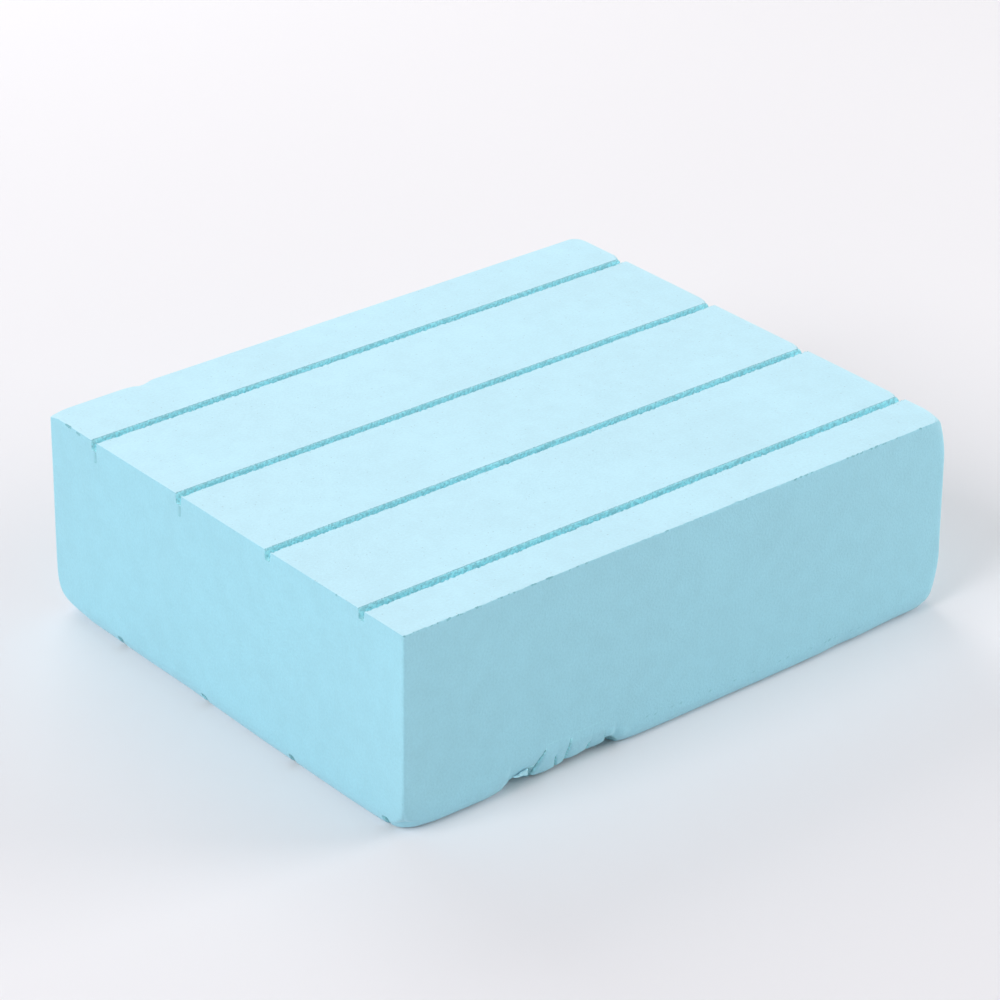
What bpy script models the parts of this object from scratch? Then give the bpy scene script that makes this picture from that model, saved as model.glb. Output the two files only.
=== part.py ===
"""A block cut from a grooved board of extruded polystyrene insulation foam.

The block stands on the XY plane with its footprint centred on the origin. X runs along the
saw-cut grooves, Y across them and Z through the board's thickness. Along the lower edge of
the -Y face a knock has cracked a row of wedge-shaped foam flaps and one torn sliver away from
the block. Each of these sits in the hollow that it broke out of.
"""

import math

import bmesh
import bpy

# The board, in metres.
LENGTH = 0.256
WIDTH = 0.204
THICKNESS = 0.080

# Saw-cut grooves, the same on both broad faces but offset across the board.
GROOVE_WIDTH = 0.0032
GROOVE_DEPTH = 0.0040
GROOVE_PITCH = 0.05135
GROOVE_COUNT = 4
TOP_GROOVE_INSET = 0.0222
BOTTOM_GROOVE_INSET = 0.0110

# Corners of the plan outline: the side of X and of Y they are on, then their radius up the
# block and at the foot. The -X end is a clean cut and the +X end is rounded by handling.
CORNERS = (
    (-1, -1, 0.0012, 0.0090),
    (1, -1, 0.0050, 0.0180),
    (1, 1, 0.0050, 0.0140),
    (-1, 1, 0.0010, 0.0160),
)
CORNER_WEAR_HEIGHT = 0.022
CORNER_WEAR_POWER = 3
CORNER_SEGMENTS = 5

# How far the +X end leans in from the foot to the top.
END_LEAN = 0.0024
FOOT_RADIUS = 0.0040
FOOT_SEGMENTS = 4

# The break behind the flaps is a plane. It meets the -Y face at FLAP_ROOT or SLIVER_ROOT
# above the foot and runs back into the foam by BREAK_SLOPE metres for each metre down.
BREAK_SLOPE = 0.65
FLAP_ROOT = 0.0125
SLIVER_ROOT = 0.0088
BREAK_GAP = 0.0003

# Reach of a cutter beyond the foam that it removes.
CUTTER_REACH = 0.005

# Each cracked piece: its name, the height of its root and of its lower edge, and the places
# of its two ends, measured along X from the -X end face, at the lower edge and at the root.
CRACKED_PIECES = (
    ("torn_sliver", SLIVER_ROOT, 0.0048, (0.0486, 0.0500), (0.0556, 0.0566)),
    ("edge_flap_1", FLAP_ROOT, 0.0036, (0.0590, 0.0628), (0.0673, 0.0679)),
    ("edge_flap_2", FLAP_ROOT, 0.0038, (0.0678, 0.0684), (0.0720, 0.0734)),
    ("edge_flap_3", FLAP_ROOT, 0.0045, (0.0742, 0.0740), (0.0824, 0.0832)),
    ("edge_flap_4", FLAP_ROOT, 0.0052, (0.0829, 0.0837), (0.0900, 0.0874)),
)

# The hollows in the block, in the same form, cut from below the foot.
SLIVER_HOLLOW = (SLIVER_ROOT, -CUTTER_REACH, (0.0470, 0.0493), (0.0590, 0.0590))
FLAP_HOLLOW = (FLAP_ROOT, -CUTTER_REACH, (0.0423, 0.0624), (0.0963, 0.0880))

FOAM_COLOUR = (0.42, 0.74, 0.86, 1.0)
FLAP_COLOUR = (0.36, 0.69, 0.79, 1.0)
TORN_COLOUR = (0.55, 0.82, 0.89, 1.0)
FOAM_ROUGHNESS = 0.85


def clear_scene():
    """Remove every object of the start-up scene."""
    for existing in list(bpy.data.objects):
        bpy.data.objects.remove(existing, do_unlink=True)


def foam_material(name, colour):
    """A matt foam material of one colour."""
    material = bpy.data.materials.new(name)
    material.use_nodes = True
    shader = material.node_tree.nodes["Principled BSDF"]
    shader.inputs["Base Color"].default_value = colour
    shader.inputs["Roughness"].default_value = FOAM_ROUGHNESS
    shader.inputs["Metallic"].default_value = 0.0
    return material


def add_object(name, shape, material=None):
    """Turn a bmesh into a named object with faces pointing out."""
    bmesh.ops.recalc_face_normals(shape, faces=shape.faces)
    mesh = bpy.data.meshes.new(name)
    shape.to_mesh(mesh)
    shape.free()
    piece = bpy.data.objects.new(name, mesh)
    bpy.context.scene.collection.objects.link(piece)
    if material:
        mesh.materials.append(material)
    return piece


def make_cutter(name, shape):
    """An object that only takes part in a Boolean."""
    cutter = add_object(name, shape)
    cutter.hide_render = True
    cutter.display_type = "WIRE"
    return cutter


def cut(piece, cutter):
    """Subtract a cutter from a piece with a Boolean modifier."""
    modifier = piece.modifiers.new("cut_" + cutter.name, "BOOLEAN")
    modifier.operation = "DIFFERENCE"
    modifier.solver = "EXACT"
    modifier.object = cutter


def add_box(shape, low, high):
    """Add a box between two corners to a bmesh."""
    made = bmesh.ops.create_cube(shape, size=1.0)
    for vertex in made["verts"]:
        vertex.co = [
            (low[i] + high[i]) / 2 + vertex.co[i] * (high[i] - low[i]) for i in range(3)
        ]


def plan_outline(height, inset):
    """The block's outline in plan at a height, anticlockwise, set in from its faces."""
    wear = max(0.0, 1 - height / CORNER_WEAR_HEIGHT) ** CORNER_WEAR_POWER
    lean = END_LEAN * max(0.0, height - FOOT_RADIUS) / (THICKNESS - FOOT_RADIUS)
    points = []
    for corner, (side_x, side_y, upright_radius, foot_radius) in enumerate(CORNERS):
        radius = upright_radius + (foot_radius - upright_radius) * wear
        end_inset = inset + lean if side_x > 0 else inset
        centre_x = side_x * (LENGTH / 2 - end_inset - radius)
        centre_y = side_y * (WIDTH / 2 - inset - radius)
        for step in range(CORNER_SEGMENTS + 1):
            angle = math.pi * (1 + (corner + step / CORNER_SEGMENTS) / 2)
            points.append(
                (centre_x + radius * math.cos(angle), centre_y + radius * math.sin(angle))
            )
    return points


def block_levels():
    """The height and inset of each outline, from the flat of the foot to the top face."""
    levels = []
    for step in range(FOOT_SEGMENTS + 1):
        angle = math.pi / 2 * step / FOOT_SEGMENTS
        levels.append((FOOT_RADIUS * (1 - math.cos(angle)), FOOT_RADIUS * (1 - math.sin(angle))))
    for share in (0.2, 0.5, 1.0):
        levels.append((FOOT_RADIUS + (CORNER_WEAR_HEIGHT - FOOT_RADIUS) * share, 0.0))
    return levels + [(THICKNESS, 0.0)]


def groove_centres(inset):
    """The Y of each groove's centre line on one broad face."""
    return [inset + i * GROOVE_PITCH - WIDTH / 2 for i in range(GROOVE_COUNT)]


def groove_cutter(name, inset, floor_height, mouth_height):
    """One saw cut for each groove of a broad face, right through both ends."""
    shape = bmesh.new()
    half_length = LENGTH / 2 + CUTTER_REACH
    for centre in groove_centres(inset):
        add_box(
            shape,
            (-half_length, centre - GROOVE_WIDTH / 2, min(floor_height, mouth_height)),
            (half_length, centre + GROOVE_WIDTH / 2, max(floor_height, mouth_height)),
        )
    return make_cutter(name, shape)


def break_depth(root, height, gap):
    """How far behind the -Y face the break plane, moved forward by a gap, is at a height."""
    return (root - height) * BREAK_SLOPE - gap * math.hypot(1, BREAK_SLOPE)


def break_height(root, depth, gap):
    """The height at which the break plane, moved forward by a gap, is at a depth."""
    return root - (depth + gap * math.hypot(1, BREAK_SLOPE)) / BREAK_SLOPE


def wedge(root, lower_height, start, end, front, gap):
    """A wedge under the break plane, between two slanted ends.

    start and end hold the place of each end at the lower height and at the root. front is how
    far the wedge stands out from the -Y face.
    """
    shape = bmesh.new()
    face_y = -WIDTH / 2
    tip_height = break_height(root, -front, gap)
    tip_share = (tip_height - lower_height) / (root - lower_height)
    rings = []
    for at_lower, at_root in (start, end):
        lower_x = at_lower - LENGTH / 2
        tip_x = lower_x + (at_root - at_lower) * tip_share
        corners = (
            (lower_x, face_y - front, lower_height),
            (lower_x, face_y + break_depth(root, lower_height, gap), lower_height),
            (tip_x, face_y - front, tip_height),
        )
        rings.append([shape.verts.new(corner) for corner in corners])
    for i in range(3):
        j = (i + 1) % 3
        shape.faces.new((rings[0][i], rings[0][j], rings[1][j], rings[1][i]))
    shape.faces.new(rings[0])
    shape.faces.new(rings[1])
    return shape


def make_block():
    """The foam block with its grooves, worn edges and broken lower edge."""
    shape = bmesh.new()
    loops = []
    for height, inset in block_levels():
        outline = plan_outline(height, inset)
        loops.append([shape.verts.new((x, y, height)) for x, y in outline])
    for lower, upper in zip(loops, loops[1:]):
        for i in range(len(lower)):
            j = (i + 1) % len(lower)
            shape.faces.new((lower[i], lower[j], upper[j], upper[i]))
    shape.faces.new(loops[0])
    shape.faces.new(loops[-1])
    block = add_object("foam_block", shape, foam_material("foam", FOAM_COLOUR))

    cut(
        block,
        groove_cutter(
            "top_groove_cutter",
            TOP_GROOVE_INSET,
            THICKNESS - GROOVE_DEPTH,
            THICKNESS + CUTTER_REACH,
        ),
    )
    cut(
        block,
        groove_cutter("bottom_groove_cutter", BOTTOM_GROOVE_INSET, GROOVE_DEPTH, -CUTTER_REACH),
    )
    for name, hollow in (
        ("sliver_hollow_cutter", SLIVER_HOLLOW),
        ("flap_hollow_cutter", FLAP_HOLLOW),
    ):
        cut(block, make_cutter(name, wedge(*hollow, CUTTER_REACH, 0.0)))


def make_cracked_pieces():
    """The flaps and the sliver, each clear of the block by BREAK_GAP."""
    for name, root, lower_height, start, end in CRACKED_PIECES:
        colour = TORN_COLOUR if root == SLIVER_ROOT else FLAP_COLOUR
        shape = wedge(root, lower_height, start, end, 0.0, BREAK_GAP)
        add_object(name, shape, foam_material(name + "_foam", colour))


clear_scene()
make_block()
make_cracked_pieces()
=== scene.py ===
import math

import bpy
import numpy as np
from mathutils import Matrix, Vector


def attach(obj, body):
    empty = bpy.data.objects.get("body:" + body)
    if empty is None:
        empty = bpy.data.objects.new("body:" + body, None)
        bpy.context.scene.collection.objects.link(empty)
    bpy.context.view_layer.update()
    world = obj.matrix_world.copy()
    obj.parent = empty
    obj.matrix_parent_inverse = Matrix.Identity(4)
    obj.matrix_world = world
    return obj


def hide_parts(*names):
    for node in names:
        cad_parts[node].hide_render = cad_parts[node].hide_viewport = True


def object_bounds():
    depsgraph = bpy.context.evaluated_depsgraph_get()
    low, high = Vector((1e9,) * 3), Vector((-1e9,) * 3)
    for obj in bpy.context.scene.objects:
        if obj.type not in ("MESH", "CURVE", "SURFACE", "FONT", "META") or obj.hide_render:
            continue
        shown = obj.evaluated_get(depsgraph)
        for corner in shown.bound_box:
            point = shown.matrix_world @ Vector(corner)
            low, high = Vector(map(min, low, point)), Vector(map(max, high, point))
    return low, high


# The foam block is rebuilt here as a fine skin of rows of points, with its worn edges, ragged
# saw cuts, pits and broken lower edge in the mesh. Shapes are worked out in millimetres: s is
# the distance along the grooves from the -X end, t the distance from the -Y face, and z the
# height. MM turns them into the frame's metres.
MM = 0.001

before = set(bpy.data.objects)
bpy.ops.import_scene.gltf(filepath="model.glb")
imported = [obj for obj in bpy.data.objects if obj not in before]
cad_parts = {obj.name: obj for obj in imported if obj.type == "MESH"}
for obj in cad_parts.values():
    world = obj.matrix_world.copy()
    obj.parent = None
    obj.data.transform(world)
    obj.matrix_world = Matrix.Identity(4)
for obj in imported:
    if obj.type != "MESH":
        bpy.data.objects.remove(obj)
cad_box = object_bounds()
LENGTH, WIDTH, THICKNESS = ((high - low) / MM for low, high in zip(*cad_box))

# Saw cuts, as in the CAD.
GROOVE_WIDTH = 3.2
GROOVE_DEPTH = 4.0
GROOVE_PITCH = 51.35
GROOVE_COUNT = 4
TOP_GROOVE_INSET = 22.2
BOTTOM_GROOVE_INSET = 11.0
TOP_GROOVES = TOP_GROOVE_INSET + GROOVE_PITCH * np.arange(GROOVE_COUNT)
BOTTOM_GROOVES = BOTTOM_GROOVE_INSET + GROOVE_PITCH * np.arange(GROOVE_COUNT)

# The rows of points of half a groove: the distances of those beside it from its lip, then
# those of its wall as (distance in from the lip, depth), then half the width of its flat floor.
LIP = GROOVE_WIDTH / 2
TOP_LAND = (3.0, 1.6, 0.9, 0.5, 0.22, 0.05)
TOP_WALL = ((0.03, 0.3), (0.04, 0.8), (0.05, 1.5), (0.08, 2.4), (0.1, 3.3), (0.25, 3.9))
TOP_FLOOR = 0.7
BOTTOM_LAND = (2.4, 0.8, 0.2, 0.04)
BOTTOM_WALL = ((0.03, 0.3), (0.05, 1.5), (0.1, 3.3))
BOTTOM_FLOOR = 0.9

# Spacing of the points. Steps from an edge start at FINEST and grow by SPACING_GROWTH, and the
# last one may be LAST_STEP times as long. The longest steps are: along the front top edge;
# along the grooves' lips and the break; beside those; along the sides near their top and foot;
# over the top face; over the other plain faces; between the rows at the foot; and between the
# rows below the top.
FINEST = 0.12
SPACING_GROWTH = 1.3
LAST_STEP = 1.5
RIM_SPACING = 0.294
FINE = 0.42
MEDIUM = 1.0
SIDE_SPACING = 1.5
COARSE = 2.5
COARSEST = 3.5
BREAK_SPACING = 0.45
MARK_SPACING = 0.6

# Rows have closer points within RIM_REACH of the front top edge, which is also how far the
# edge is nibbled, within LIP_REACH of a groove's lip and, to a less degree, LIP_SURROUND of it.
RIM_REACH = 1.2
LIP_REACH = 0.95
LIP_SURROUND = 2.2

# Heights between which the rows round the block are level. Above and below, they bend to
# meet the grooves.
FOOT_ZONE = 14.0
TOP_ZONE = 10.0

# A point lies in a saw cut where it is more than CUT_MARGIN from the broad face, less than that
# beyond the cut's floor, and more than SIDE_MARGIN in from the sides.
CUT_MARGIN = 0.1
SIDE_MARGIN = 0.01

# The smallest length that anything is divided by.
TINY = 1e-9

# Teeth of the saw cuts: how far points move at random, how wide a tooth is, and (axis, seed)
# for each way that they move. Then the nibbles in the front top edge.
SAW_ROUGHNESS = 0.18
SAW_TOOTH = 0.9
SAW_SEEDS = ((1, 21), (2, 22))
EDGE_ROUGHNESS = 0.35
NIBBLE_CELL = 1.3
NIBBLE_SEED = 31

# Slow unevenness of the whole block.
WAVE_HEIGHT = 0.12
WAVE_CELL = 30.0
WAVE_SEEDS = (1, 2, 3)

# Upright corners: for each end and side, the radius up the block and at the foot, and how
# quickly the wear at the foot dies out.
CORNER_RADII = {
    (-1, -1): (1.0, 9.4, 3),
    (1, -1): (3.6, 12.5, 1.5),
    (1, 1): (5.0, 15.0, 3),
    (-1, 1): (0.5, 18.5, 4),
}
CORNER_WEAR_HEIGHT = 22.0

# The corner at +X and -Y is also rounded towards its top, over this height.
TOP_CORNER_RADIUS = 11.0
TOP_CORNER_HEIGHT = 18.0

# How far the +X end leans in from the foot to the top, and how far along that reaches.
END_LEAN = 2.2
LEAN_REACH = 20.0

# How large the rounding of the foot is along each side, as (place along the side, size). It
# goes in from the side by FOOT_SHARE of its size, and up by FOOT_STRETCH times as much.
FOOT_SHARE = 0.79
FOOT_STRETCH = 1.9
FRONT_FOOT = (
    (0, 11.1), (7, 9.6), (12, 8.1), (17, 6.9), (38, 6.3), (42, 7.0), (45, 8.0), (47, 10.0),
    (56, 10.0), (92, 8.4), (95, 9.0), (98, 6.8), (101, 5.4), (105, 4.8), (125, 4.6), (150, 4.8),
    (170, 4.3), (183, 4.3), (196, 4.9), (205, 6.3), (214, 5.8), (236, 7.1), (246, 7.2),
    (256, 5.4),
)
LEFT_FOOT = (
    (0, 10.8), (8, 8.0), (14, 6.2), (30, 5.3), (80, 4.6), (95, 4.9), (125, 6.1), (150, 5.4),
    (185, 5.7), (204, 6.2),
)
RIGHT_FOOT = 4.4
BACK_FOOT = 4.5

# Radius of the top edge on each side.
FRONT_RIM = 0.35
LEFT_RIM = 0.35
RIGHT_RIM = ((0, 6.6), (12, 4.6), (60, 4.4), (110, 4.0), (150, 3.6), (204, 3.6))
BACK_RIM = 0.15

# Bulged lips beside the break: place along, height, reach and how far each stands out.
LIPS = ((97.5, 5.0, 4.2, 0.7), (92.8, 7.8, 2.4, 0.4))

# Where the broken lower edge starts on the -Y face, as (distance along, height of the break),
# and the stretch of the foot where the points are close enough for it.
BREAK_LINE = (
    (46.8, -1), (47.8, 6.2), (49, 6.5), (55, 8.0), (58.2, 8.1), (62.2, 12.4), (88, 12.4),
    (90.4, 6.5), (92.4, 6.5), (94.2, 5.6), (96.0, 4.0), (97.6, 2.2), (98.2, -1),
)
BREAK_ENDS = (44.0, 100.0)

# Below that line the broken surface steps back by BREAK_STEP over a small height, and slopes
# back by (distance along, distance back for each millimetre down), as far as BREAK_LIMIT.
BREAK_STEP = 1.0
BREAK_STEP_HEIGHT = 0.6
BREAK_SLOPE = ((47.0, 1.1), (56.0, 1.0), (58.6, 0.5), (86.0, 0.5), (90.6, 0.7), (91.6, 2.0))
BREAK_LIMIT = 8.2

# Layers of its roughness, as (how far points move, width of the features, seed).
BREAK_ROUGHNESS = ((0.25, 1.6, 5), (0.35, 4.0, 6))

# Points within this reach of the -Y face are moved onto the broken surface, towards a line
# inside the block, given as its (t, z). The place is found by halving.
BREAK_REACH = 9.0
BREAK_CENTRE = (16.0, 16.0)
HALVINGS = 18

# Broken foam takes on the painted shade of a pit, standing in for the shade inside the hollow behind
# the cracked pieces, from DEEP_START behind the -Y face, over the next DEEP_REACH.
DEEP_START = 1.0
DEEP_REACH = 3.0

# Each cracked piece: the material slot, its left and its right edge as (height, place along)
# knots with the height where the crack beside it ends and the edge's roundness, how far it
# bulges and leans out, and how rough it is.
CRACKED = {
    "torn_sliver": (
        "torn_foam",
        (((6.3, 48.1), (6.9, 48.6)), 9, 0.4),
        (((5.4, 55.0), (7.9, 54.6)), 9, 0.5),
        (0.2, 0.25),
        0.4,
    ),
    "edge_flap_1": (
        "edge_foam",
        (((0.5, 58.8), (3, 58.4), (8, 60.4), (12, 62.3)), 12, 1.8),
        (((0.5, 69.8), (3, 69.0), (7.4, 67.7), (8.6, 68.4)), 8.0, 0.3),
        (0.4, 0.2),
        0.12,
    ),
    "edge_flap_2": (
        "edge_foam",
        (((0.5, 70.2), (3, 69.3), (7.4, 67.72), (8.6, 67.0)), 8.0, 0.5),
        (((0.5, 73.9), (3, 73.2), (7, 72.9), (12, 73.6)), 12, 0.3),
        (0.3, 0.1),
        0.12,
    ),
    "edge_flap_3": (
        "edge_foam",
        (((0.5, 74.8), (3, 74.0), (7, 73.4), (12, 73.63)), 12, 1.4),
        (((0.5, 84.6), (3.4, 84.1), (6.2, 83.9), (7.4, 84.7)), 6.8, 0.3),
        (0.3, 0.1),
        0.12,
    ),
    "edge_flap_4": (
        "edge_foam",
        (((0.5, 85.0), (3.4, 84.4), (6.2, 83.92), (7.4, 83.2)), 6.8, 0.6),
        (((3.0, 92.4), (6.1, 90.7), (8.0, 90.2), (12.5, 88.7)), 5.4, 0.4),
        (0.3, 0.1),
        0.12,
    ),
}

# The lower contour of the cracked pieces, and the height of their tops.
CRACKED_FOOT = (
    (48, 6.5), (54.8, 5.8), (57.6, 2.5), (60.5, 0.9), (64.3, 0.6), (69.8, 1.0), (74, 1.4),
    (77, 1.3), (81, 1.5), (85.9, 1.1), (89.3, 1.9), (92.4, 3.1),
)
FLAP_TOP = 15.5
SLIVER_TOP = ((48.1, 6.9), (50, 7.1), (52, 7.6), (54.6, 8.1))

# Their grids of points. FLAP_WALL is how late the front and the back turn to the rim that they
# share, and WALL_FADE how soon the brighter painted glow of cut foam starts there, with the painted
# shade of a pit following it.
FLAP_COLUMNS = 44
FLAP_ROWS = 40
FLAP_WALL = 14
WALL_FADE = 3

# Their fronts: how far and how late the contour rises at its two ends, the shape of the bulge
# across and down a piece, the height over which a crack opens, and the rounding at the foot,
# which FOOT_CURL keeps just short of a full quarter turn.
END_RISE = 0.25
END_RISE_POWER = 8
BULGE_ACROSS = 0.7
BULGE_DOWN = 1.5
CRACK_FADE = 3
FLAP_FOOT_RADIUS = 0.8
FOOT_CURL = 0.98

# How far back the foot of each flap is pushed in, as (place along, distance), the height from
# which it slants, and how late most of that comes.
FLAP_TUCK = (
    (55.7, 0), (58.6, 3.0), (61, 4.0), (70, 3.4), (76, 4.2), (80, 3.9), (86, 5.0),
    (92.4, 2.9),
)
FLAP_KNEE = 11.0
TUCK_POWER = 1.4

# A flap stands just proud of the block, and the top twelfth of it sinks in. Its back stays
# FLAP_GAP in front of the broken surface, unless that would make the flap too thin.
FLAP_PROUD = 0.03
FLAP_SINK = 0.15
SINK_SPEED = 12
FLAP_GAP = 0.2
FLAP_THICKNESS = 0.7

# Roughness of the cracked pieces: the width of its features, its seeds, the height where it
# ends, and how far below that it fades.
FLAP_CELL = 1.8
FLAP_SEEDS = (11, 12, 13)
ROUGH_TOP = 12.5
ROUGH_FADE = 6

# Bites are the round hollows of torn-out cells. Random values are given as (least, range). A point
# takes the full painted shade of a pit where it was pushed by at least a third of the bite's radius.
BITE_SEED = 7
BITE_SHADE = 3

# Bites along the lips of the top grooves, as (side of the groove, size). Their radius is given
# for a size of 1. The step to the next bite and the shift up and over the cut are given for a
# radius of 1.
LIP_BITES = ((-1, 1.0), (1, 0.4))
LIP_BITE_RADIUS = (0.4, 0.55)
LIP_BITE_STEP = (1.1, 1.1)
LIP_BITE_SHIFT = 0.1

# Pits along the top edge of the -Y face, as (place along, half their length). Each is a row of
# bites up to EDGE_PIT_DROP below the edge, and the range of their radius is for a half length
# of 1.
EDGE_PITS = (
    (0.3, 0.7), (3.2, 0.3), (4.6, 0.35), (6.2, 0.3), (9.0, 0.35), (12.0, 0.3), (14.6, 0.35),
    (17.2, 0.4), (19.2, 0.7), (22.8, 0.45), (24.4, 0.35), (30.8, 0.6), (32.4, 0.35),
    (41.0, 0.75), (45.0, 0.5), (46.9, 0.35), (54.8, 0.6), (56.1, 0.4), (62.0, 0.7),
    (63.4, 0.4), (71.5, 0.5), (74.9, 0.4), (79.2, 0.6), (115.4, 0.6), (131.0, 0.3),
    (152.5, 0.35), (176.2, 0.5), (178.9, 0.5), (181.4, 0.6), (184.2, 0.5), (202.0, 0.5),
    (204.4, 0.55), (206.6, 0.6), (208.9, 0.55), (213.4, 0.6), (216.3, 0.7), (218.7, 0.95),
    (220.4, 0.6), (226.6, 0.6), (238.8, 0.6),
)
EDGE_PIT_STEP = 0.35
EDGE_PIT_DROP = 0.5
EDGE_PIT_RADIUS = (0.2, 0.4)

# Chipped stretches of the top edge of the -X end, as (start, end, drop below the top). A bite
# may be CHIP_DROP lower. CHIP_ROWS are the rows of points that they add to the top face.
CHIPS = ((35.5, 35.9, 0.2), (191.0, 193.8, 0.2), (185.0, 187.3, 0.6))
CHIP_STEP = 0.4
CHIP_DROP = 0.2
CHIP_RADIUS = (0.35, 0.25)
CHIP_ROWS = (*np.arange(34.9, 36.6, 0.4), *np.arange(184.5, 194.5, 0.45))

# Grooves with a thin mark below them on the -X end. A mark is a row of bites, to one side of
# the groove's centre and just outside the end, at (first, last, step) below the groove's floor.
END_MARKS = (2, 3)
MARK_SIDE = 0.7
MARK_OUT = 0.05
MARK_DROPS = (0.6, 4.2, 0.3)
MARK_RADIUS = 0.45

# A line of small pits low on the -Y face, as (place along, height). Each may be CREASE_DRIFT
# higher.
CREASE = ((108, 7.7), (206, 6.2), (236, 5.2))
CREASE_STEP = 2.6
CREASE_DRIFT = 0.3
CREASE_RADIUS = (0.2, 0.25)

# Dips in the back top edge, as (place along, depth), and how far in they reach.
BACK_DIP = (
    (0, 1.3), (1.5, 0.8), (5, 0.2), (8, 0), (33, 0), (36.5, 0.3), (40.3, 1.2), (45, 0),
    (249, 0.0), (256, 1.0),
)
BACK_DIP_REACH = 5.0

# Wear of each groove's far wall where it runs out at the +X end: its middle from the groove's
# centre, half its width, how far the wall is worn back, and how far down and in that reaches.
EXIT_MIDDLE = 2.4
EXIT_REACH = 3.4
EXIT_WEAR = 2.8
EXIT_FADE = 7.0

# Foam colours: the sides' own colour; a paler painted highlight for faces that point up or down,
# standing in for the brighter light on them; a brighter painted glow for sawn and broken foam,
# standing in for light scattered through the foam into the cuts; a darker painted shade for pits and
# hollows; and a colour for the torn sliver, paler than the sides.
SIDE_COLOUR = (0.342, 0.67, 0.776, 1)
BROAD_FACE_HIGHLIGHT_COLOUR = (0.547, 0.837, 0.944, 1)
SAWN_GLOW_COLOUR = (0.45, 0.87, 0.94, 1)
PIT_SHADE_COLOUR = (0.24, 0.53, 0.60, 1)
TORN_COLOUR = (0.42, 0.75, 0.84, 1)

# A face turns from the side colour to the painted highlight of the broad faces as the upright part
# of its normal, up or down, passes between these.
BROAD_FACE_HIGHLIGHT_LEVELS = (0.55, 0.98)

# Noises of the foam: how many features each has in a metre, and the shades that it gives at two
# levels of the noise. The teeth of cut foam add to the shade, and the others multiply it.
NOISE_LEVELS = (0.3, 0.7)
NOISE_DETAIL = 3.0
MOTTLE_SCALE = 22.0
MOTTLE_SHADE = (0.982, 1.012)
BLOTCH_SCALE = 130.0
BLOTCH_SHADE = (0.98, 1.01)
GRAIN_SCALE = 1000.0
GRAIN_SHADE = (0.975, 1.015)
TOOTH_SCALE = 900.0
TOOTH_LEVELS = (0.35, 0.65)
TOOTH_SHADE = (-0.16, 0.14)

# Pinholes: how many cells there are for them in a metre. A number drawn for each cell gives its
# pinhole a size, from none at the first PORE_CHANCE to PORE_SIZE at the second, and another
# gives it a shade, dark below DARK_CHANCE and light above. SIDE_PORES is how strong they are on
# the sides.
PORE_SCALE = 620.0
PORE_CHANCE = (0.25, 1.0)
PORE_SIZE = 0.19
DARK_CHANCE = (0.55, 0.6)
DARK_PORE = -0.16
LIGHT_PORE = 0.05
SIDE_PORES = 0.35

# Relief: the foam's cells in a metre, their height where it is planed and where it is cut, the
# heights of the grain and of the pinholes, and the strength and depth of it all in metres.
CELL_SCALE = 1500.0
CELL_HEIGHT = (0.5, 1.5)
GRAIN_HEIGHT = 0.8
PORE_DEPTH = 1.2
BUMP_STRENGTH = 0.35
BUMP_DEPTH = 0.0004

# Gloss of the foam.
FOAM_ROUGHNESS = (0.7, 0.85)
SPECULAR = 0.35
SHEEN = 0.18
SHEEN_ROUGHNESS = 0.45

# The floor is paper, in two shades and with a fine fibre. Lengths are in metres.
PAPER = (0.856, 0.833, 0.850, 1)
PAPER_SHADE = (0.845, 0.823, 0.841, 1)
PAPER_CLOUDS = 1.5
PAPER_FIBRES = 900.0
PAPER_BUMP = 0.1
PAPER_DEPTH = 0.0001
PAPER_ROUGHNESS = 0.9
FLOOR_RADIUS = 1.95
FLOOR_SIDES = 96
FLOOR_GAP = 0.0002

# The room and the lights, in metres and watts. A light has its place, the point it is aimed at,
# its size, its power and its colour.
ROOM_COLOUR = (0.97, 0.98, 1.0)
ROOM_STRENGTH = 0.385
HORIZON_STRENGTH = 0.98
HORIZON_HEIGHT = 0.2
LIGHTS = {
    "back_light": ((0.35, 1.3, 0.9), (0, 0.2, 0), 1.0, 9.1, (1, 1, 1)),
    "left_light": ((-2.3, -0.2, 1.75), (0, 0, 0), 1.5, 49.0, (0.99, 1.0, 1.03)),
    "right_light": ((1.5, -0.85, 0.68), (0.1, -0.1, 0.04), 1.05, 16.2, (1, 1, 1)),
}

# The camera, in millimetres from the foot of the -X, -Y corner, its roll in degrees, and how
# far it sees in metres.
CAMERA_PLACE = (-661.0, -825.3, 695.3)
CAMERA_TARGET = (133.2, 109.5, 40.0)
CAMERA_ROLL = 0.86
CAMERA_LENS = 135.8
CAMERA_REACH = 100

# Large numbers that scramble the places of a lattice into random values.
HASH_X = 73856093
HASH_Y = 19349663
HASH_Z = 83492791
HASH_SEED = 265443577
HASH_MIX = 1274126177


def ease(x):
    """A smooth step from 0 to 1."""
    x = np.clip(x, 0.0, 1.0)
    return x * x * (3 - 2 * x)


def nearness(distance, reach):
    """1 at no distance, falling evenly to 0 at a reach."""
    return np.clip(1 - distance / reach, 0.0, 1.0)


def curve(x, knots):
    """Read a curve given as (place, value) knots."""
    places, values = zip(*knots)
    return np.interp(x, places, values)


def drawn(random, least, extra):
    """A random value between a least one and that plus a range."""
    return least + extra * random.random()


def lattice_noise(points, cell, seed):
    """Smooth noise from -1 to 1 whose features are about one cell across."""
    scaled = np.asarray(points) / cell
    base = np.floor(scaled).astype(np.int64)
    blend = ease(scaled - base)
    total = np.zeros(len(scaled))
    for corner in np.ndindex(2, 2, 2):
        x, y, z = (base + corner).T
        hashed = (x * HASH_X) ^ (y * HASH_Y) ^ (z * HASH_Z) ^ (seed * HASH_SEED)
        hashed = ((hashed ^ (hashed >> 13)) * HASH_MIX) & 0x7FFFFFFF
        value = ((hashed >> 8) & 0xFFFF) / 32767.5 - 1
        weight = np.where(corner, blend, 1 - blend).prod(axis=1)
        total += weight * value
    return total


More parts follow.
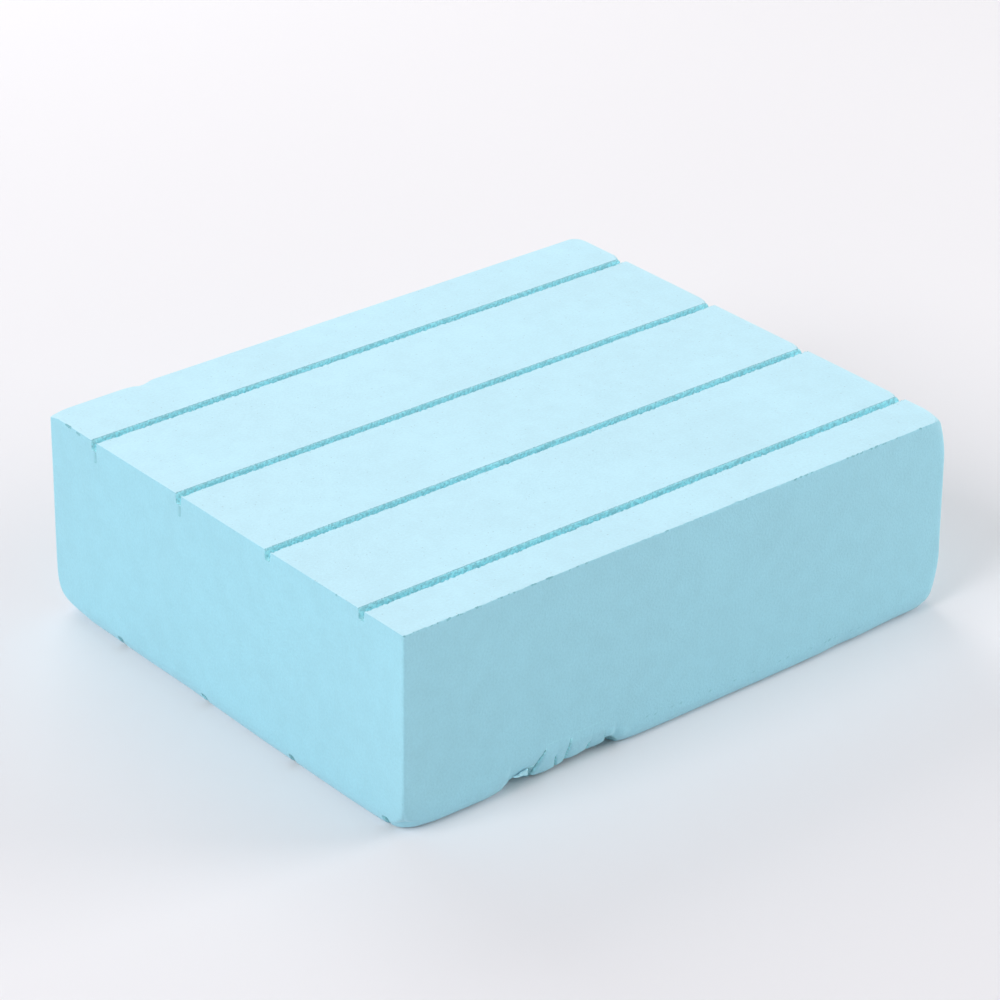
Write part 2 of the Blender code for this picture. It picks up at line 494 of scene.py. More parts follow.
def offset_noise(points, cell, seeds):
    """Smooth noise for each of the three axes, one seed for each."""
    return np.column_stack([lattice_noise(points, cell, seed) for seed in seeds])


def waviness(points):
    """Slow unevenness of a board cut by hand."""
    return WAVE_HEIGHT * offset_noise(points, WAVE_CELL, WAVE_SEEDS)


def edge_ladder(length, coarsest):
    """Places from an edge inwards, finest at the edge, that end at a length."""
    places, step = [0.0], FINEST
    while places[-1] + step * LAST_STEP < length:
        places.append(places[-1] + step)
        step = min(step * SPACING_GROWTH, coarsest)
    return np.array(places + [length])


def spaced(length, coarsest):
    """Places from 0 to a length, finest at both ends and growing to an even spacing."""
    half = edge_ladder(length / 2, coarsest)[:-1]
    return np.concatenate((half, length - half[::-1]))


class Skin:
    """A closed surface built from rows of points and the strips between them."""

    def __init__(self):
        self.rows = []
        self.count = 0
        self.faces = []

    def add(self, s, t, z):
        """Add a row of points and return their numbers."""
        row = np.column_stack(np.broadcast_arrays(s, t, z)).astype(float)
        self.rows.append(row)
        self.count += len(row)
        return np.arange(self.count - len(row), self.count)

    def points(self):
        """All the points, in the order of their numbers."""
        return np.vstack(self.rows)

    def stitch(self, lower, upper, lower_at, upper_at):
        """Fill the strip between two rows that run the same way, given where points lie."""
        if len(lower) == len(upper):
            quads = np.column_stack((lower[:-1], lower[1:], upper[1:], upper[:-1]))
            self.faces += quads.tolist()
            return
        i = j = 0
        while i < len(lower) - 1 or j < len(upper) - 1:
            at_end = j == len(upper) - 1
            if at_end or (i < len(lower) - 1 and lower_at[i + 1] <= upper_at[j + 1]):
                self.faces.append([int(lower[i]), int(lower[i + 1]), int(upper[j])])
                i += 1
            else:
                self.faces.append([int(lower[i]), int(upper[j + 1]), int(upper[j])])
                j += 1


def half_groove(land, wall, floor):
    """Half of a groove's outline, from the land beside it to the middle of its floor."""
    outline = [(LIP + out, 0.0) for out in land]
    outline += [(LIP - inward, depth) for inward, depth in wall]
    return outline + [(floor, GROOVE_DEPTH)]


def face_profile(grooves, front_step, half, land_step):
    """Rows across a grooved face: their distance from the -Y face and their depth."""
    groove = [(-out, depth) for out, depth in half]
    groove += [(out, depth) for out, depth in reversed(half)]
    reach = half[0][0]
    rows = [(place, 0.0) for place in edge_ladder(grooves[0] - reach, front_step)[:-1]]
    for centre, following in zip(grooves, [*grooves[1:], None]):
        rows += [(centre + out, depth) for out, depth in groove]
        if following:
            start, stop = centre + reach, following - reach
            land = np.linspace(start, stop, round((stop - start) / land_step) + 1)
            rows += [(place, 0.0) for place in land[1:-1]]
    last_land = edge_ladder(WIDTH - grooves[-1] - reach, land_step)
    return rows + [(WIDTH - place, 0.0) for place in last_land[-2::-1]]


def columns(rows):
    """The rows' distances from the -Y face, and their depths."""
    return [np.array(column) for column in zip(*rows)]


def ring(skin, front_s, back_s, end_t, side_z, end_z):
    """One loop of points round the block, as four rows and the places of their points.

    The rows are the front, right, back and left ones, and each starts where the last one ends.
    """
    front = skin.add(front_s, 0.0, side_z)
    right = np.concatenate((front[-1:], skin.add(LENGTH, end_t[1:], end_z[1:])))
    back = np.concatenate((right[-1:], skin.add(back_s[-2::-1], WIDTH, side_z)))
    left = skin.add(0.0, end_t[-2:0:-1], end_z[-2:0:-1])
    left = np.concatenate((back[-1:], left, front[:1]))
    at = (front_s, end_t, -back_s[::-1], -end_t[::-1])
    return (front, right, back, left), at


def cover(skin, last_ring, at, rows_t, rows_z, rows_s, facing):
    """Close the top or the bottom with rows along X between the ends of a ring.

    facing is 1 for the top and -1 for the bottom.
    """
    front, right, back, left = last_ring
    ends = list(zip(left[::-1], right))
    numbers, places = [front], [at[0]]
    for t, z, along, (first, last) in list(zip(rows_t, rows_z, rows_s, ends))[1:-1]:
        middle = skin.add(along[1:-1], t, z)
        numbers.append(np.concatenate(([first], middle, [last])))
        places.append(along)
    numbers.append(back[::-1])
    places.append(-at[2][::-1])
    for i in range(len(numbers) - 1):
        lower, upper = (i, i + 1) if facing > 0 else (i + 1, i)
        skin.stitch(numbers[lower], numbers[upper], places[lower], places[upper])


def top_step(t):
    """Spacing along a row of the top face: fine by the grooves and the front edge."""
    from_lip = np.abs(np.abs(TOP_GROOVES - t).min() - LIP)
    if t < RIM_REACH:
        return RIM_SPACING
    if from_lip < LIP_REACH:
        return FINE
    return MEDIUM if from_lip < LIP_SURROUND else COARSE


def front_places():
    """Places along the foot of the -Y face, finest where it is broken."""
    left, right = BREAK_ENDS
    return np.concatenate(
        (
            edge_ladder(left, MEDIUM)[:-1],
            np.linspace(left, right, round((right - left) / FINE)),
            LENGTH - edge_ladder(LENGTH - right, MEDIUM)[-2::-1],
        )
    )


def side_rings(skin, foot_s, coarse, bottom, top):
    """The loops of points round the block, from the foot to the top."""
    (bottom_t, bottom_depth), (top_t, top_depth) = bottom, top
    fine, medium = spaced(LENGTH, RIM_SPACING), spaced(LENGTH, SIDE_SPACING)
    level_t = spaced(WIDTH, COARSEST)
    top_base = THICKNESS - TOP_ZONE
    rings = []
    for height in np.arange(0, FOOT_ZONE - BREAK_SPACING / 2, BREAK_SPACING):
        end_z = bottom_depth + (FOOT_ZONE - bottom_depth) * height / FOOT_ZONE
        rings.append(ring(skin, foot_s, medium, bottom_t, height, end_z))
    for height in np.linspace(FOOT_ZONE, top_base, round((top_base - FOOT_ZONE) / COARSE)):
        rings.append(ring(skin, coarse, coarse, level_t, height, np.full(len(level_t), height)))
    for below in edge_ladder(TOP_ZONE, MARK_SPACING)[-2::-1]:
        end_z = top_base + (TOP_ZONE - top_depth) * (1 - below / TOP_ZONE)
        front_s = fine if below < RIM_REACH else medium
        rings.append(ring(skin, front_s, medium, top_t, THICKNESS - below, end_z))
    return rings


def block_skin():
    """The block's skin with square edges and plain grooves."""
    skin = Skin()
    bottom_half = half_groove(BOTTOM_LAND, BOTTOM_WALL, BOTTOM_FLOOR)
    top_half = half_groove(TOP_LAND, TOP_WALL, TOP_FLOOR)
    bottom = face_profile(BOTTOM_GROOVES, BREAK_SPACING, bottom_half, COARSEST)
    top = face_profile(TOP_GROOVES, COARSE, top_half, COARSE)
    top = sorted(top + [(place, 0.0) for place in CHIP_ROWS])
    bottom, top = columns(bottom), columns(top)
    foot_s, coarse = front_places(), spaced(LENGTH, COARSEST)
    rings = side_rings(skin, foot_s, coarse, bottom, top)
    for (lower, lower_at), (upper, upper_at) in zip(rings, rings[1:]):
        for side in range(4):
            skin.stitch(lower[side], upper[side], lower_at[side], upper_at[side])
    under_rows = [foot_s if t < BREAK_REACH else coarse for t in bottom[0]]
    over_rows = [spaced(LENGTH, top_step(t)) for t in top[0]]
    cover(skin, *rings[0], bottom[0], bottom[1], under_rows, -1)
    cover(skin, *rings[-1], top[0], THICKNESS - top[1], over_rows, 1)
    return skin


def round_corners(points):
    """Round the upright corners. Returns the points, how far in they are and which way is out."""
    s, t, z = points.T
    end = np.where(s < LENGTH / 2, -1, 1)
    side = np.where(t < WIDTH / 2, -1, 1)
    u = np.minimum(s, LENGTH - s)
    v = np.minimum(t, WIDTH - t)
    wear = nearness(z, CORNER_WEAR_HEIGHT)
    radius = np.zeros(len(points))
    for (corner_end, corner_side), (upright, foot, power) in CORNER_RADII.items():
        here = (end == corner_end) & (side == corner_side)
        radius[here] = upright + (foot - upright) * wear[here] ** power
    top_wear = nearness(THICKNESS - z, TOP_CORNER_HEIGHT) ** 2
    worn_top = (end > 0) & (side < 0)
    radius[worn_top] += ((TOP_CORNER_RADIUS - radius) * top_wear)[worn_top]
    a, b = np.maximum(radius - u, 0), np.maximum(radius - v, 0)
    in_corner = (a > 0) & (b > 0)
    reach, span = np.maximum(a, b), np.maximum(np.hypot(a, b), TINY)
    share = reach / span
    new_u = np.where(in_corner, radius - a * share, u)
    new_v = np.where(in_corner, radius - b * share, v)
    inset = np.where(in_corner, radius - reach, np.minimum(u, v))
    out_x = np.where(in_corner, a / span, (u < v).astype(float))
    out_y = np.where(in_corner, b / span, (u >= v).astype(float))
    new_s = np.where(end < 0, new_u, LENGTH - new_u)
    new_t = np.where(side < 0, new_v, WIDTH - new_v)
    return np.column_stack((new_s, new_t, z)), inset, np.column_stack((out_x * end, out_y * side))


def by_side(points, out, front, right, back, left):
    """Blend one value for each side by the direction that a point faces."""
    s, t, _ = points.T
    total = 0
    for facing, value, place in (
        (-out[:, 1], front, s),
        (out[:, 0], right, t),
        (out[:, 1], back, s),
        (-out[:, 0], left, t),
    ):
        reading = value if np.isscalar(value) else curve(place, value)
        total = total + np.maximum(facing, 0) ** 2 * reading
    return total


def round_rim(inset, depth, radius):
    """Round the edge between the sides and a broad face. Returns how far points move."""
    a, b = radius - inset, radius - depth
    inside = (a > 0) & (b > 0)
    share = np.maximum(a, b) / np.maximum(np.hypot(a, b), TINY)
    inward = np.where(inside, (radius - a * share) - inset, 0)
    deeper = np.where(inside, (radius - b * share) - depth, 0)
    return inward, deeper


def round_edges(points, square, inset, out):
    """Round the foot and the top edges of the block."""
    foot_size = by_side(square, out, FRONT_FOOT, RIGHT_FOOT, BACK_FOOT, LEFT_FOOT)
    rim_radius = by_side(square, out, FRONT_RIM, RIGHT_RIM, BACK_RIM, LEFT_RIM)
    for depth, radius, stretch, upward in (
        (square[:, 2], FOOT_SHARE * foot_size, FOOT_STRETCH, 1),
        (THICKNESS - square[:, 2], rim_radius, 1, -1),
    ):
        inward, deeper = round_rim(inset, depth / stretch, radius)
        points[:, :2] -= out * inward[:, None]
        points[:, 2] += upward * deeper * stretch


def in_saw_cut(square, inset):
    """Which points lie on the walls or the floor of a saw cut."""
    depth = np.minimum(square[:, 2], THICKNESS - square[:, 2])
    return (depth > CUT_MARGIN) & (depth < GROOVE_DEPTH + CUT_MARGIN) & (inset > SIDE_MARGIN)


def push_out_lips(points):
    """Bulge the foam beside the break."""
    for lip_s, lip_z, reach, out_by in LIPS:
        away = np.hypot(points[:, 0] - lip_s, points[:, 2] - lip_z) / reach
        points[:, 1] -= out_by * ease(1 - away) * (points[:, 1] < BREAK_REACH)


def roughen(points, sawn):
    """Make the saw cuts ragged, and nibble the top edge of the -Y face."""
    for axis, seed in SAW_SEEDS:
        points[sawn, axis] += SAW_ROUGHNESS * lattice_noise(points[sawn], SAW_TOOTH, seed)
    from_edge = np.hypot(points[:, 1], THICKNESS - points[:, 2])
    nibbles = np.maximum(lattice_noise(points, NIBBLE_CELL, NIBBLE_SEED), 0)
    nibbled = ease(1 - from_edge / RIM_REACH) * nibbles
    points[:, 1] += EDGE_ROUGHNESS * nibbled
    points[:, 2] -= EDGE_ROUGHNESS * nibbled


def break_surface(s, z):
    """How far behind the -Y face the broken surface lies."""
    under = curve(s, BREAK_LINE) - z
    behind = BREAK_STEP * ease(under / BREAK_STEP_HEIGHT) + curve(s, BREAK_SLOPE) * under
    return np.where(under > 0, np.minimum(behind, BREAK_LIMIT), -1.0)


def break_edge(points):
    """Carve the broken surface out of the lower edge of the -Y face. Returns what moved."""
    s, t, z = points.T.copy()
    rough = sum(
        amount * lattice_noise(points, cell, seed) for amount, cell, seed in BREAK_ROUGHNESS
    )
    removed = (z < FOOT_ZONE) & (t < BREAK_REACH)
    removed &= t < break_surface(s, z)
    low, high = np.zeros(len(s)), np.ones(len(s))
    for _ in range(HALVINGS):
        middle = (low + high) / 2
        at_t = t + (BREAK_CENTRE[0] - t) * middle
        at_z = z + (BREAK_CENTRE[1] - z) * middle
        outside = at_t < break_surface(s, at_z) + rough
        low, high = np.where(outside, middle, low), np.where(outside, high, middle)
    points[removed, 1] = (t + (BREAK_CENTRE[0] - t) * high)[removed]
    points[removed, 2] = (z + (BREAK_CENTRE[1] - z) * high)[removed]
    return removed


def bite(points, bites):
    """Push the skin out of round bites. Returns how deep each point was bitten."""
    order = np.argsort(points[:, 0])
    sorted_s = points[order, 0]
    bitten = np.zeros(len(points))
    for centre, radius in bites:
        first, last = np.searchsorted(sorted_s, (centre[0] - radius, centre[0] + radius))
        near = order[first:last]
        away = points[near] - centre
        distance = np.linalg.norm(away, axis=1)
        inside = (distance < radius) & (distance > TINY)
        chosen, away, distance = near[inside], away[inside], distance[inside]
        points[chosen] = centre + away * (radius / distance)[:, None]
        bitten[chosen] = np.maximum(bitten[chosen], 1 - distance / radius)
    return bitten


def groove_bites(random):
    """Torn-out cells along both lips of each groove in the top face."""
    bites = []
    least, extra = LIP_BITE_RADIUS
    for groove in TOP_GROOVES:
        for lip, size in LIP_BITES:
            s = 0.0
            while s < LENGTH:
                radius = size * (least + extra * random.random() ** 2)
                s += radius * drawn(random, *LIP_BITE_STEP)
                t = groove + lip * (LIP - LIP_BITE_SHIFT * radius)
                bites.append(((s, t, THICKNESS + LIP_BITE_SHIFT * radius), radius))
    return bites


def edge_bites(random):
    """Pits along the top edge of the -Y face, chips on the -X end and marks below grooves."""
    bites = []
    least, extra = EDGE_PIT_RADIUS
    for place, length in EDGE_PITS:
        for s in np.arange(place - length, place + length, EDGE_PIT_STEP):
            z = THICKNESS - EDGE_PIT_DROP * random.random()
            bites.append(((s, 0.0, z), drawn(random, least, extra * length)))
    for start, end, drop in CHIPS:
        for place in np.arange(start, end, CHIP_STEP):
            z = THICKNESS - drawn(random, drop, CHIP_DROP)
            bites.append(((0.0, place, z), drawn(random, *CHIP_RADIUS)))
    for groove in END_MARKS:
        for drop in np.arange(*MARK_DROPS):
            z = THICKNESS - GROOVE_DEPTH - drop
            bites.append(((-MARK_OUT, TOP_GROOVES[groove] - MARK_SIDE, z), MARK_RADIUS))
    for s in np.arange(CREASE[0][0], CREASE[-1][0], CREASE_STEP):
        s += CREASE_STEP * random.random()
        z = drawn(random, curve(s, CREASE), CREASE_DRIFT)
        bites.append(((s, 0.0, z), drawn(random, *CREASE_RADIUS)))
    return bites


def wear_ends(points):
    """Wear the grooves' exits and the back top edge, and lean the +X end in."""
    from_exit = np.abs(points[:, 1, None] - TOP_GROOVES - EXIT_MIDDLE).min(axis=1) / EXIT_REACH
    near_top = nearness(THICKNESS - points[:, 2], EXIT_FADE)
    near_end = nearness(LENGTH - points[:, 0], EXIT_FADE)
    points[:, 0] -= EXIT_WEAR * ease(1 - from_exit) * ease(near_top * 2) * near_end

    near_back = nearness(WIDTH - points[:, 1], BACK_DIP_REACH)
    near_top = nearness(THICKNESS - points[:, 2], TOP_ZONE)
    points[:, 2] -= curve(points[:, 0], BACK_DIP) * near_back * near_top

    near_end = nearness(LENGTH - points[:, 0], LEAN_REACH)
    points[:, 0] -= END_LEAN * near_end * points[:, 2] / THICKNESS


def shape_block():
    """All of the block's shape: the skin, its wear, the break and the bites."""
    skin = block_skin()
    square = skin.points()
    points, inset, out = round_corners(square)
    round_edges(points, square, inset, out)
    push_out_lips(points)
    sawn = in_saw_cut(square, inset)
    roughen(points, sawn)
    removed = break_edge(points)
    # Painted shade: broken foam deep behind the -Y face and the bottoms of the bites take the darker
    # colour of a pit, standing in for the shade in these hollows.
    recess_shade = removed * ease((points[:, 1] - DEEP_START) / DEEP_REACH)
    random = np.random.default_rng(BITE_SEED)
    bitten = bite(points, groove_bites(random) + edge_bites(random))
    pit_shade = np.maximum(ease(bitten * BITE_SHADE), recess_shade)
    wear_ends(points)
    # Sawn and broken points are marked for the brighter painted glow of cut foam.
    return skin.faces, points + waviness(points), 1.0 * (sawn | removed), pit_shade


def flap_grid():
    """How far across and how far up a cracked piece each point is, closest at the rim."""
    across, up = (
        (1 - np.cos(np.linspace(0, math.pi, count))) / 2 for count in (FLAP_COLUMNS, FLAP_ROWS)
    )
    return np.meshgrid(across, up)


def flap_front(z, foot, edges, tuck):
    """How far the cracks beside a piece, its tuck and its foot set its front sheet back."""
    back = 0.0
    for from_side, tip, radius in edges:
        near = nearness(from_side, radius)
        open_here = np.clip((tip - z) / CRACK_FADE, 0, 1)
        back = back + radius * (1 - np.sqrt(1 - near**2)) * open_here
    tucked = np.clip((FLAP_KNEE - z) / (FLAP_KNEE - foot), 0, 1) ** TUCK_POWER
    near_foot = nearness(z - foot, FLAP_FOOT_RADIUS)
    curled = FLAP_FOOT_RADIUS * (1 - np.sqrt(1 - near_foot**2 * FOOT_CURL))
    return back + tuck * tucked + curled


def flap_sheets(left_side, right_side, stance, top):
    """Front and back sheets of a cracked piece, as grids of points."""
    (left, left_tip, left_radius), (right, right_tip, right_radius) = left_side, right_side
    bulge, lean = stance
    u, v = flap_grid()
    foot_s = left[0][1] + (right[0][1] - left[0][1]) * u
    foot = curve(foot_s, CRACKED_FOOT) + END_RISE * np.abs(2 * u - 1) ** END_RISE_POWER
    z = foot + (curve(foot_s, top) - foot) * v
    left_s, right_s = curve(z, left), curve(z, right)
    s = left_s + (right_s - left_s) * u

    out = (lean + bulge * np.sin(math.pi * u) ** BULGE_ACROSS) * (1 - v) ** BULGE_DOWN
    edges = ((s - left_s, left_tip, left_radius), (right_s - s, right_tip, right_radius))
    front = -FLAP_PROUD - out + flap_front(z, foot, edges, curve(foot_s, FLAP_TUCK))
    front += FLAP_SINK * ease(1 - (1 - v) * SINK_SPEED)

    broken = break_surface(s.ravel(), z.ravel()).reshape(s.shape)
    back = np.maximum(broken - FLAP_GAP, front + FLAP_THICKNESS)
    wall = np.maximum(np.abs(2 * u - 1), np.abs(2 * v - 1)) ** FLAP_WALL
    seam = (front + back) / 2
    sheets = [np.column_stack((s.flat, (t + (seam - t) * wall).flat, z.flat)) for t in (front, back)]
    return sheets, wall.ravel()


def shape_flap(left_side, right_side, stance, roughness, top):
    """A cracked piece as a closed skin: a front and a back sheet that share their rim."""
    (front, back), wall = flap_sheets(left_side, right_side, stance, top)
    grid = np.arange(FLAP_ROWS * FLAP_COLUMNS).reshape(FLAP_ROWS, FLAP_COLUMNS)
    inner = np.zeros(grid.shape, dtype=bool)
    inner[1:-1, 1:-1] = True
    behind = grid.copy()
    behind[inner] = grid.size + np.arange(inner.sum())
    faces = []
    for numbers, step in ((grid, 1), (behind, -1)):
        corners = (numbers[:-1, :-1], numbers[:-1, 1:], numbers[1:, 1:], numbers[1:, :-1])
        faces += np.stack([corner.ravel() for corner in corners], axis=1)[:, ::step].tolist()
    points = np.vstack((front, back[inner.ravel()]))
    fade = np.clip((ROUGH_TOP - points[:, 2:]) / ROUGH_FADE, 0, 1)
    points = points + roughness * offset_noise(points, FLAP_CELL, FLAP_SEEDS) * fade
    # The rim of a piece takes the brighter painted glow of cut foam and then the painted shade of a
    # pit, and its back, in the gap against the block, takes the painted shade.
    cut = np.concatenate((ease(wall * WALL_FADE), np.ones(inner.sum())))
    pit_shade = np.concatenate((ease(wall * WALL_FADE - 1), np.ones(inner.sum())))
    return faces, points + waviness(points), cut, pit_shade


def mesh_object(name, faces, points, cut, pit_shade):
    """Turn a shape in millimetres into a smooth-shaded object in the frame.

    cut says how far each point is sawn or broken foam, which takes a brighter painted glow, and
    pit_shade how far it takes the painted shade of a pit.
    """
    mesh = bpy.data.meshes.new(name)
    mesh.from_pydata((points * MM + np.array(cad_box[0])).tolist(), [], faces)
    mesh.shade_smooth()
    for mark, values in (("cut", cut), ("pit_shade", pit_shade)):
        attribute = mesh.attributes.new(mark, "FLOAT", "POINT")
        attribute.data.foreach_set("value", values.astype(np.float32))
    piece = bpy.data.objects.new(name, mesh)
    bpy.context.scene.collection.objects.link(piece)
    return piece


class Shader:
    """A material and a short way to add its nodes."""

    def __init__(self, name):
        self.material = bpy.data.materials.new(name)
        self.material.use_nodes = True
        self.tree = self.material.node_tree
        self.surface = self.tree.nodes["Principled BSDF"]

    def feed(self, socket, value):
        """Link a socket to another node's output, or set its value."""
        if isinstance(value, bpy.types.NodeSocket):
            self.tree.links.new(value, socket)
        else:
            socket.default_value = value

    def node(self, kind, settings=None, **inputs):
        """Add a node with its settings and its named inputs."""
        node = self.tree.nodes.new("ShaderNode" + kind)
        for key, value in (settings or {}).items():
            setattr(node, key, value)
        for key, value in inputs.items():
            self.feed(node.inputs[key], value)
        return node

    def attribute(self, name):
        """Read one of the marks of mesh_object."""
        return self.node("Attribute", {"attribute_name": name}).outputs["Fac"]

    def math(self, operation, *values):
        """Add, multiply or compare values."""
        node = self.node("Math", {"operation": operation})
        for socket, value in zip(node.inputs, values):
            self.feed(socket, value)
        return node.outputs[0]

    def ramp(self, value, low, high, out_low=0.0, out_high=1.0):
        """Read a value between two levels as a smooth step between two others."""
        node = self.node("MapRange", {"interpolation_type": "SMOOTHSTEP"}, Value=value)
        for key, level in zip(
            ("From Min", "From Max", "To Min", "To Max"), (low, high, out_low, out_high)
        ):
            node.inputs[key].default_value = level
        return node.outputs[0]

    def noise(self, place, scale, detail=2.0):
        """Soft noise from 0 to 1."""
        return self.node("TexNoise", Vector=place, Scale=scale, Detail=detail).outputs["Fac"]

    def mix(self, blend, factor, first, second):
        """Mix two colours."""
        node = self.tree.nodes.new("ShaderNodeMix")
        node.data_type, node.blend_type = "RGBA", blend
        for index, value in ((0, factor), (6, first), (7, second)):
            self.feed(node.inputs[index], value)
        return node.outputs[2]


def pinholes(shader, place, flat):
    """Where the pinholes are, weaker on the sides, and how much each changes the shade."""
    pores = shader.node("TexVoronoi", Vector=place, Scale=PORE_SCALE)
    chance = shader.node("SeparateColor", Color=pores.outputs["Color"])
    size = shader.ramp(chance.outputs["Red"], *PORE_CHANCE, 0.0, PORE_SIZE)
    pore = shader.math("LESS_THAN", pores.outputs["Distance"], size)
    pore = shader.math("MULTIPLY", pore, shader.ramp(flat, 0.0, 1.0, SIDE_PORES, 1.0))
    return pore, shader.ramp(chance.outputs["Green"], *DARK_CHANCE, DARK_PORE, LIGHT_PORE)


def foam_material(name, side, highlight_colour, sawn, pit_shade):
    """Extruded foam with fine cells and pinholes, painted paler as a highlight on faces that point
    up or down, brighter as a glow where cut, and darker as shade in pits.
    """
    shader = Shader(name)
    where = shader.node("TexCoord")
    place = where.outputs["Object"]
    cut = shader.attribute("cut")
    up = shader.node("SeparateXYZ", Vector=where.outputs["Normal"]).outputs["Z"]
    flat = shader.ramp(shader.math("ABSOLUTE", up), *BROAD_FACE_HIGHLIGHT_LEVELS)
    mottle = shader.noise(place, MOTTLE_SCALE, NOISE_DETAIL)
    blotch = shader.noise(place, BLOTCH_SCALE, NOISE_DETAIL)
    grain = shader.noise(place, GRAIN_SCALE)
    pore, pore_shade = pinholes(shader, place, flat)

    shade = shader.ramp(mottle, *NOISE_LEVELS, *MOTTLE_SHADE)
    for noise, change in ((blotch, BLOTCH_SHADE), (grain, GRAIN_SHADE)):
        shade = shader.math("MULTIPLY", shade, shader.ramp(noise, *NOISE_LEVELS, *change))
    teeth = shader.ramp(shader.noise(place, TOOTH_SCALE), *TOOTH_LEVELS, *TOOTH_SHADE)
    for mark, change in ((pore, pore_shade), (teeth, cut)):
        shade = shader.math("ADD", shade, shader.math("MULTIPLY", mark, change))
    # Painted highlight: faces that point up or down take the paler colour of the broad faces,
    # standing in for the brighter light on them.
    colour = shader.mix("MIX", flat, side, highlight_colour)
    # Painted glow: sawn and broken foam takes a brighter colour, standing in for light scattered
    # through the foam into the cuts.
    colour = shader.mix("MIX", cut, colour, sawn)
    # Painted shade: pits and hollows take a darker colour.
    colour = shader.mix("MIX", shader.attribute("pit_shade"), colour, pit_shade)
    shade = shader.node("CombineXYZ", X=shade, Y=shade, Z=shade).outputs[0]
    colour = shader.mix("MULTIPLY", 1.0, colour, shade)
    shader.feed(shader.surface.inputs["Base Color"], colour)

    cells = shader.node("TexVoronoi", Vector=place, Scale=CELL_SCALE).outputs["Distance"]
    rough = shader.math("MULTIPLY", cells, shader.ramp(cut, 0.0, 1.0, *CELL_HEIGHT))
    height = shader.math("ADD", shader.math("MULTIPLY", grain, GRAIN_HEIGHT), rough)
    height = shader.math("SUBTRACT", height, shader.math("MULTIPLY", pore, PORE_DEPTH))
    bump = shader.node("Bump", Height=height, Strength=BUMP_STRENGTH, Distance=BUMP_DEPTH)
    shader.feed(shader.surface.inputs["Normal"], bump.outputs["Normal"])
    gloss = shader.ramp(mottle, *NOISE_LEVELS, *FOAM_ROUGHNESS)
    shader.feed(shader.surface.inputs["Roughness"], gloss)
    shader.surface.inputs["Specular IOR Level"].default_value = SPECULAR
    shader.surface.inputs["Sheen Weight"].default_value = SHEEN
    shader.surface.inputs["Sheen Roughness"].default_value = SHEEN_ROUGHNESS
    return shader.material


def floor_material():
    """Pale matt paper with a faint unevenness."""
    shader = Shader("studio_paper")
    place = shader.node("TexCoord").outputs["Object"]
    clouds = shader.ramp(shader.noise(place, PAPER_CLOUDS), *NOISE_LEVELS)
    colour = shader.mix("MIX", clouds, PAPER, PAPER_SHADE)
    shader.feed(shader.surface.inputs["Base Color"], colour)
    fibre = shader.noise(place, PAPER_FIBRES)
    bump = shader.node("Bump", Height=fibre, Strength=PAPER_BUMP, Distance=PAPER_DEPTH)
    shader.feed(shader.surface.inputs["Normal"], bump.outputs["Normal"])
    shader.surface.inputs["Roughness"].default_value = PAPER_ROUGHNESS
    return shader.material


def make_block():
    """The foam block in place of its CAD node."""
    block = mesh_object("grooved_foam", *shape_block())
    block.data.materials.append(
        foam_material("foam", SIDE_COLOUR, BROAD_FACE_HIGHLIGHT_COLOUR, SAWN_GLOW_COLOUR, PIT_SHADE_COLOUR)
    )
    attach(block, "root")
    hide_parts("foam_block")


def make_cracked_pieces():
    """Each cracked piece in place of its CAD node."""
    # The painted shade of a piece's rim and back is the darker pit colour, and for the torn sliver
    # the side colour, which is darker than its own.
    materials = {
        "edge_foam": foam_material("edge_foam", SIDE_COLOUR, SIDE_COLOUR, SAWN_GLOW_COLOUR, PIT_SHADE_COLOUR),
        "torn_foam": foam_material("torn_foam", TORN_COLOUR, TORN_COLOUR, TORN_COLOUR, SIDE_COLOUR),
    }
    for name, (slot, *shape) in CRACKED.items():
        top = SLIVER_TOP if slot == "torn_foam" else ((0, FLAP_TOP),)
        piece = mesh_object(name + "_skin", *shape_flap(*shape, top))
        piece.data.materials.append(materials[slot])
        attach(piece, "root")
        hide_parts(name)


def make_floor():
    """A plain pale floor."""
    bpy.ops.mesh.primitive_circle_add(
        vertices=FLOOR_SIDES, radius=FLOOR_RADIUS, fill_type="NGON"
    )
    floor = bpy.context.object
    floor.name = "floor"
    floor.location.z = cad_box[0][2] - FLOOR_GAP
    floor.data.materials.append(floor_material())


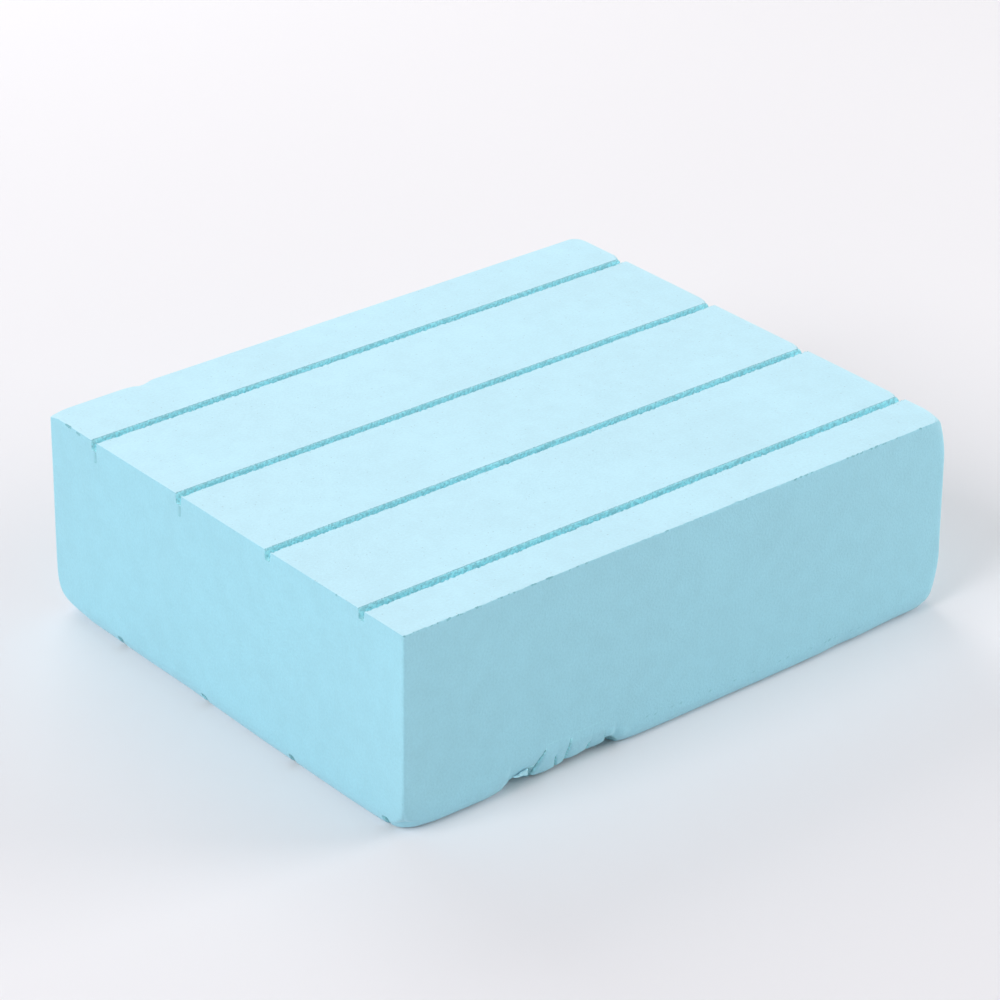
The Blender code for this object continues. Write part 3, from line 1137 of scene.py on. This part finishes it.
def area_light(name, place, target, size, power, colour):
    """A square soft light aimed at a point."""
    light = bpy.data.lights.new(name, "AREA")
    light.shape, light.size = "SQUARE", size
    light.energy, light.color = power, colour
    lamp = bpy.data.objects.new(name, light)
    bpy.context.scene.collection.objects.link(lamp)
    lamp.location = place
    lamp.visible_camera = False
    lamp.rotation_euler = (Vector(target) - Vector(place)).to_track_quat("-Z", "Y").to_euler()


def make_light():
    """A pale room, bright round the horizon, and large soft lights."""
    world = bpy.data.worlds.new("pale_room")
    world.use_nodes = True
    nodes, links = world.node_tree.nodes, world.node_tree.links
    background = nodes["Background"]
    background.inputs["Color"].default_value = (*ROOM_COLOUR, 1)
    split = nodes.new("ShaderNodeSeparateXYZ")
    fade = nodes.new("ShaderNodeMapRange")
    fade.interpolation_type = "SMOOTHSTEP"
    for key, level in (
        ("From Min", 0.0),
        ("From Max", HORIZON_HEIGHT),
        ("To Min", HORIZON_STRENGTH),
        ("To Max", ROOM_STRENGTH),
    ):
        fade.inputs[key].default_value = level
    links.new(nodes.new("ShaderNodeTexCoord").outputs["Generated"], split.inputs["Vector"])
    links.new(split.outputs["Z"], fade.inputs["Value"])
    links.new(fade.outputs[0], background.inputs["Strength"])
    bpy.context.scene.world = world
    bpy.context.scene.view_settings.view_transform = "Standard"
    for name, light in LIGHTS.items():
        area_light(name, *light)


def make_camera():
    """The camera, placed from the foot of the -X, -Y corner."""
    corner = Vector(cad_box[0])
    place = corner + Vector(CAMERA_PLACE) * MM
    target = corner + Vector(CAMERA_TARGET) * MM
    camera = bpy.data.objects.new("camera", bpy.data.cameras.new("camera"))
    bpy.context.scene.collection.objects.link(camera)
    facing = (target - place).to_track_quat("-Z", "Y").to_matrix().to_4x4()
    camera.matrix_world = (
        Matrix.Translation(place) @ facing @ Matrix.Rotation(math.radians(CAMERA_ROLL), 4, "Z")
    )
    camera.data.lens = CAMERA_LENS
    camera.data.clip_end = CAMERA_REACH
    bpy.context.scene.camera = camera


make_block()
make_cracked_pieces()
make_floor()
make_light()
make_camera()
